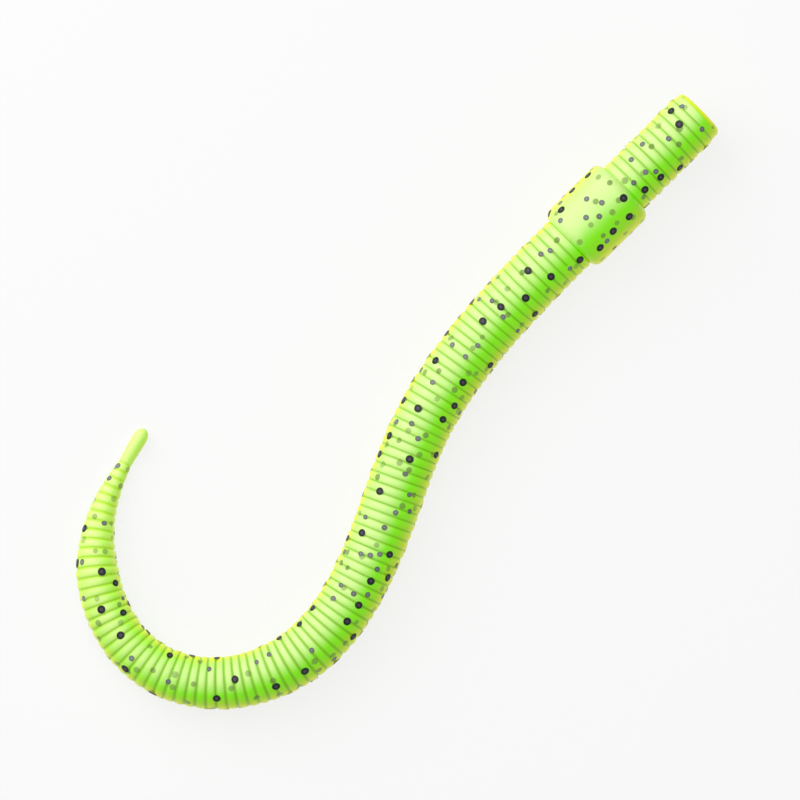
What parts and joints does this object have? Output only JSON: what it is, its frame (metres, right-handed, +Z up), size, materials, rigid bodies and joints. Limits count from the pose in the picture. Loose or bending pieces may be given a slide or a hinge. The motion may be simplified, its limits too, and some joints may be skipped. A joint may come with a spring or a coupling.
{
  "type": "soft plastic worm",
  "caption": "Ringed finesse worm lure in soft chartreuse plastic with dark glitter, a flat nose, a smooth collar and a tapering tail; flexes along its length.",
  "frame": {"origin": "centre of the worm's flat nose face", "axes": "+X out of the nose face, away from the tail; +Z up from the surface the worm lies on; the worm curls in the X-Y plane"},
  "size_m": [0.0837, 0.0317, 0.0077],
  "materials": {
    "worm_plastic": "gloss",
    "glitter_flake": "gloss"
  },
  "bodies": {
    "nose": {"nose_section": "worm_plastic", "nose_flakes": "glitter_flake", "flex_band_01": "worm_plastic"},
    "neck": {"neck_section": "worm_plastic", "neck_flakes": "glitter_flake", "flex_band_02": "worm_plastic"},
    "collar": {"collar_section": "worm_plastic", "collar_flakes": "glitter_flake", "flex_band_03": "worm_plastic"},
    "body_01": {"body_01_section": "worm_plastic", "body_01_flakes": "glitter_flake", "flex_band_04": "worm_plastic"},
    "body_02": {"body_02_section": "worm_plastic", "body_02_flakes": "glitter_flake", "flex_band_05": "worm_plastic"},
    "body_03": {"body_03_section": "worm_plastic", "body_03_flakes": "glitter_flake", "flex_band_06": "worm_plastic"},
    "body_04": {"body_04_section": "worm_plastic", "body_04_flakes": "glitter_flake", "flex_band_07": "worm_plastic"},
    "body_05": {"body_05_section": "worm_plastic", "body_05_flakes": "glitter_flake", "flex_band_08": "worm_plastic"},
    "body_06": {"body_06_section": "worm_plastic", "body_06_flakes": "glitter_flake", "flex_band_09": "worm_plastic"},
    "body_07": {"body_07_section": "worm_plastic", "body_07_flakes": "glitter_flake", "flex_band_10": "worm_plastic"},
    "body_08": {"body_08_section": "worm_plastic", "body_08_flakes": "glitter_flake", "flex_band_11": "worm_plastic"},
    "body_09": {"body_09_section": "worm_plastic", "body_09_flakes": "glitter_flake", "flex_band_12": "worm_plastic"},
    "body_10": {"body_10_section": "worm_plastic", "body_10_flakes": "glitter_flake", "flex_band_13": "worm_plastic"},
    "body_11": {"body_11_section": "worm_plastic", "body_11_flakes": "glitter_flake", "flex_band_14": "worm_plastic"},
    "body_12": {"body_12_section": "worm_plastic", "body_12_flakes": "glitter_flake", "flex_band_15": "worm_plastic"},
    "body_13": {"body_13_section": "worm_plastic", "body_13_flakes": "glitter_flake", "flex_band_16": "worm_plastic"},
    "body_14": {"body_14_section": "worm_plastic", "body_14_flakes": "glitter_flake", "flex_band_17": "worm_plastic"},
    "body_15": {"body_15_section": "worm_plastic", "body_15_flakes": "glitter_flake", "flex_band_18": "worm_plastic"},
    "tail": {"tail_section": "worm_plastic", "tail_flakes": "glitter_flake"}
  },
  "joints": [
    {"name": "flex_01", "type": "hinge", "parent": "nose", "child": "neck", "pos_m": [-0.0053, 0, 0], "axis": [0, 0, 1], "range_deg": [-30, 30], "stiffness_Nm_per_rad": 0.00223, "deforming": ["flex_band_01"]},
    {"name": "flex_02", "type": "hinge", "parent": "neck", "child": "collar", "pos_m": [-0.0103, 0, 0], "axis": [0, 1, 0], "range_deg": [-30, 30], "stiffness_Nm_per_rad": 0.00223, "deforming": ["flex_band_02"]},
    {"name": "flex_03", "type": "hinge", "parent": "collar", "child": "body_01", "pos_m": [-0.02016, 0, -0.00001], "axis": [0.0186, 0, -0.9998], "range_deg": [-30, 30], "stiffness_Nm_per_rad": 0.00271, "deforming": ["flex_band_03"]},
    {"name": "flex_04", "type": "hinge", "parent": "body_01", "child": "body_02", "pos_m": [-0.02589, -0.00006, -0.00033], "axis": [0.0265, -0.9996, 0], "range_deg": [-30, 30], "stiffness_Nm_per_rad": 0.00269, "deforming": ["flex_band_04"]},
    {"name": "flex_05", "type": "hinge", "parent": "body_02", "child": "body_03", "pos_m": [-0.03161, -0.00038, -0.00069], "axis": [-0.0307, -0.0028, 0.9995], "range_deg": [-30, 30], "stiffness_Nm_per_rad": 0.00268, "deforming": ["flex_band_05"]},
    {"name": "flex_06", "type": "hinge", "parent": "body_03", "child": "body_04", "pos_m": [-0.03729, -0.00112, -0.00072], "axis": [-0.1705, 0.9854, 0], "range_deg": [-30, 30], "stiffness_Nm_per_rad": 0.00266, "deforming": ["flex_band_06"]},
    {"name": "flex_07", "type": "hinge", "parent": "body_04", "child": "body_05", "pos_m": [-0.04286, -0.00245, -0.00072], "axis": [0.0008, 0.0003, -1], "range_deg": [-30, 30], "stiffness_Nm_per_rad": 0.00264, "deforming": ["flex_band_07"]},
    {"name": "flex_08", "type": "hinge", "parent": "body_05", "child": "body_06", "pos_m": [-0.04817, -0.00459, -0.00073], "axis": [0.423, -0.9061, 0], "range_deg": [-30, 30], "stiffness_Nm_per_rad": 0.00263, "deforming": ["flex_band_08"]},
    {"name": "flex_09", "type": "hinge", "parent": "body_06", "child": "body_07", "pos_m": [-0.05334, -0.00706, -0.00073], "axis": [-0.0069, -0.0032, 1], "range_deg": [-30, 30], "stiffness_Nm_per_rad": 0.00259, "deforming": ["flex_band_09"]},
    {"name": "flex_10", "type": "hinge", "parent": "body_07", "child": "body_08", "pos_m": [-0.05863, -0.00927, -0.00079], "axis": [-0.3347, 0.9423, 0], "range_deg": [-30, 30], "stiffness_Nm_per_rad": 0.00241, "deforming": ["flex_band_10"]},
    {"name": "flex_11", "type": "hinge", "parent": "body_08", "child": "body_09", "pos_m": [-0.06417, -0.01068, -0.00085], "axis": [0.0098, 0.0013, -1], "range_deg": [-30, 30], "stiffness_Nm_per_rad": 0.00224, "deforming": ["flex_band_11"]},
    {"name": "flex_12", "type": "hinge", "parent": "body_09", "child": "body_10", "pos_m": [-0.06988, -0.01056, -0.00091], "axis": [-0.1957, -0.9807, 0], "range_deg": [-30, 30], "stiffness_Nm_per_rad": 0.00206, "deforming": ["flex_band_12"]},
    {"name": "flex_13", "type": "hinge", "parent": "body_10", "child": "body_11", "pos_m": [-0.07516, -0.00842, -0.00105], "axis": [-0.02, 0.013, 0.9997], "range_deg": [-30, 30], "stiffness_Nm_per_rad": 0.0017, "deforming": ["flex_band_13"]},
    {"name": "flex_14", "type": "hinge", "parent": "body_11", "child": "body_12", "pos_m": [-0.07922, -0.00444, -0.00118], "axis": [0.8348, 0.5505, 0], "range_deg": [-30, 30], "stiffness_Nm_per_rad": 0.00139, "deforming": ["flex_band_14"]},
    {"name": "flex_15", "type": "hinge", "parent": "body_12", "child": "body_13", "pos_m": [-0.0811, 0.00091, -0.00132], "axis": [0.002, -0.0238, -0.9997], "range_deg": [-30, 30], "stiffness_Nm_per_rad": 0.00113, "deforming": ["flex_band_15"]},
    {"name": "flex_16", "type": "hinge", "parent": "body_13", "child": "body_14", "pos_m": [-0.08024, 0.00653, -0.00146], "axis": [-0.9312, 0.3646, 0], "range_deg": [-30, 30], "stiffness_Nm_per_rad": 0.000903, "deforming": ["flex_band_16"]},
    {"name": "flex_17", "type": "hinge", "parent": "body_14", "child": "body_15", "pos_m": [-0.07719, 0.01134, -0.00176], "axis": [0.0894, 0.0957, 0.9914], "range_deg": [-40, 40], "stiffness_Nm_per_rad": 0.000524, "deforming": ["flex_band_17"]},
    {"name": "flex_18", "type": "hinge", "parent": "body_15", "child": "tail", "pos_m": [-0.0726, 0.01472, -0.00252], "axis": [0.4368, -0.8995, 0], "range_deg": [-50, 50], "stiffness_Nm_per_rad": 0.0000865, "deforming": ["flex_band_18"]}
  ]
}
